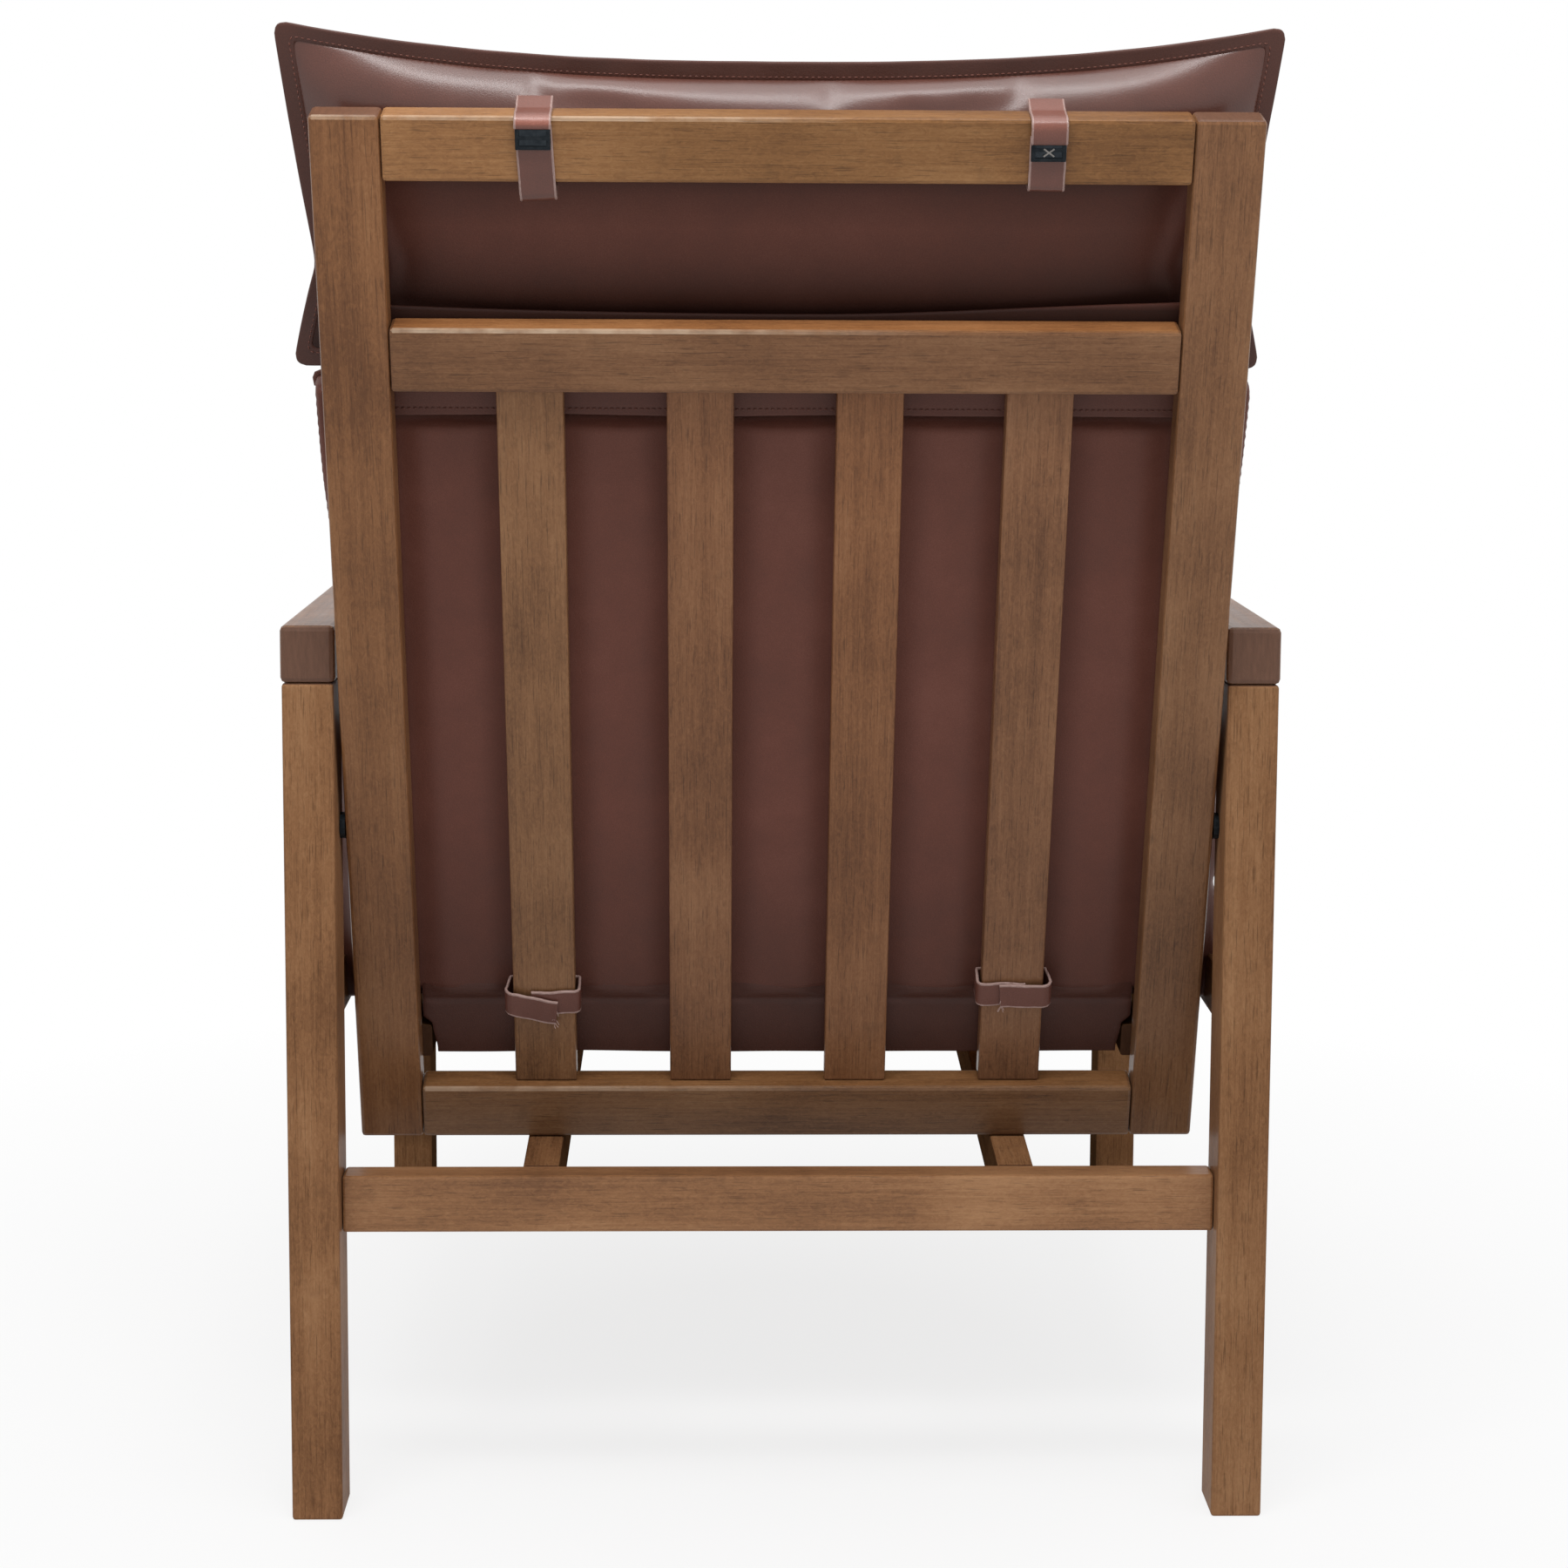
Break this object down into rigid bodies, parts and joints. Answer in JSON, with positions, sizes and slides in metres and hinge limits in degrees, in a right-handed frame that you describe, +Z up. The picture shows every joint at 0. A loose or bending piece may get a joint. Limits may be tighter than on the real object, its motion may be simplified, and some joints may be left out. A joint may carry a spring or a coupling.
{
  "type": "lounge chair",
  "caption": "Wooden lounge chair with a leaning slatted back, square legs and arms, leather seat and back cushions and a strapped-on head pillow.",
  "frame": {"origin": "on the floor, under the centre of the chair's overall box", "axes": "+Z up, the chair faces -Y, +X towards the sitter's left"},
  "size_m": [0.66, 0.8185, 0.9953],
  "materials": {
    "oiled_hardwood": "satin oiled brown hardwood, straight grain with fine dark pores",
    "cushion_leather": "aged dark brown leather, soft sheen, fine grain",
    "strap_leather": "thick red-brown strap leather with pale cut edges",
    "black_iron": "worn black",
    "zinc_steel": "bright zinc-plated steel",
    "brass": "plain turned brass"
  },
  "bodies": {
    "chair": {"armrest_dowel_front_left": "oiled_hardwood", "armrest_dowel_front_right": "oiled_hardwood", "armrest_dowel_rear_left": "oiled_hardwood", "armrest_dowel_rear_right": "oiled_hardwood", "armrest_left": "oiled_hardwood", "armrest_right": "oiled_hardwood", "back_bolt_insert_left": "brass", "back_bolt_insert_right": "brass", "back_bolt_left": "zinc_steel", "back_bolt_right": "zinc_steel", "back_bolt_spacer_left": "black_iron", "back_bolt_spacer_right": "black_iron", "back_bottom_rail": "oiled_hardwood", "back_cushion": "cushion_leather", "back_cushion_flap": "cushion_leather", "back_cushion_hem": "cushion_leather", "back_head_rail": "oiled_hardwood", "back_slat_1": "oiled_hardwood", "back_slat_2": "oiled_hardwood", "back_slat_3": "oiled_hardwood", "back_slat_4": "oiled_hardwood", "back_stile_left": "oiled_hardwood", "back_stile_right": "oiled_hardwood", "back_top_rail": "oiled_hardwood", "buckle_left": "black_iron", "buckle_right": "black_iron", "front_leg_left": "oiled_hardwood", "front_leg_right": "oiled_hardwood", "front_rail": "oiled_hardwood", "head_pillow": "cushion_leather", "head_strap_left": "strap_leather", "head_strap_right": "strap_leather", "head_strap_tail_left": "strap_leather", "head_strap_tail_right": "strap_leather", "rear_leg_left": "oiled_hardwood", "rear_leg_right": "oiled_hardwood", "rear_rail": "oiled_hardwood", "seat_frame_screw_left": "zinc_steel", "seat_frame_screw_right": "zinc_steel", "seat_side_rail_left": "oiled_hardwood", "seat_side_rail_right": "oiled_hardwood", "seat_slat_1": "oiled_hardwood", "seat_slat_2": "oiled_hardwood", "seat_slat_3": "oiled_hardwood", "seat_slat_4": "oiled_hardwood", "seat_slat_5": "oiled_hardwood", "seat_slat_6": "oiled_hardwood", "side_stretcher_left": "oiled_hardwood", "side_stretcher_right": "oiled_hardwood", "slat_loop_left": "strap_leather", "slat_loop_right": "strap_leather", "under_seat_bar_left": "oiled_hardwood", "under_seat_bar_right": "oiled_hardwood"},
    "loose_seat_cushion": {"seat_cushion": "cushion_leather"}
  },
  "joints": [
    {"name": "seat_cushion_lift", "type": "slide", "parent": "chair", "child": "loose_seat_cushion", "axis": [0, 0, 1], "range_m": [0, 0.25]}
  ]
}
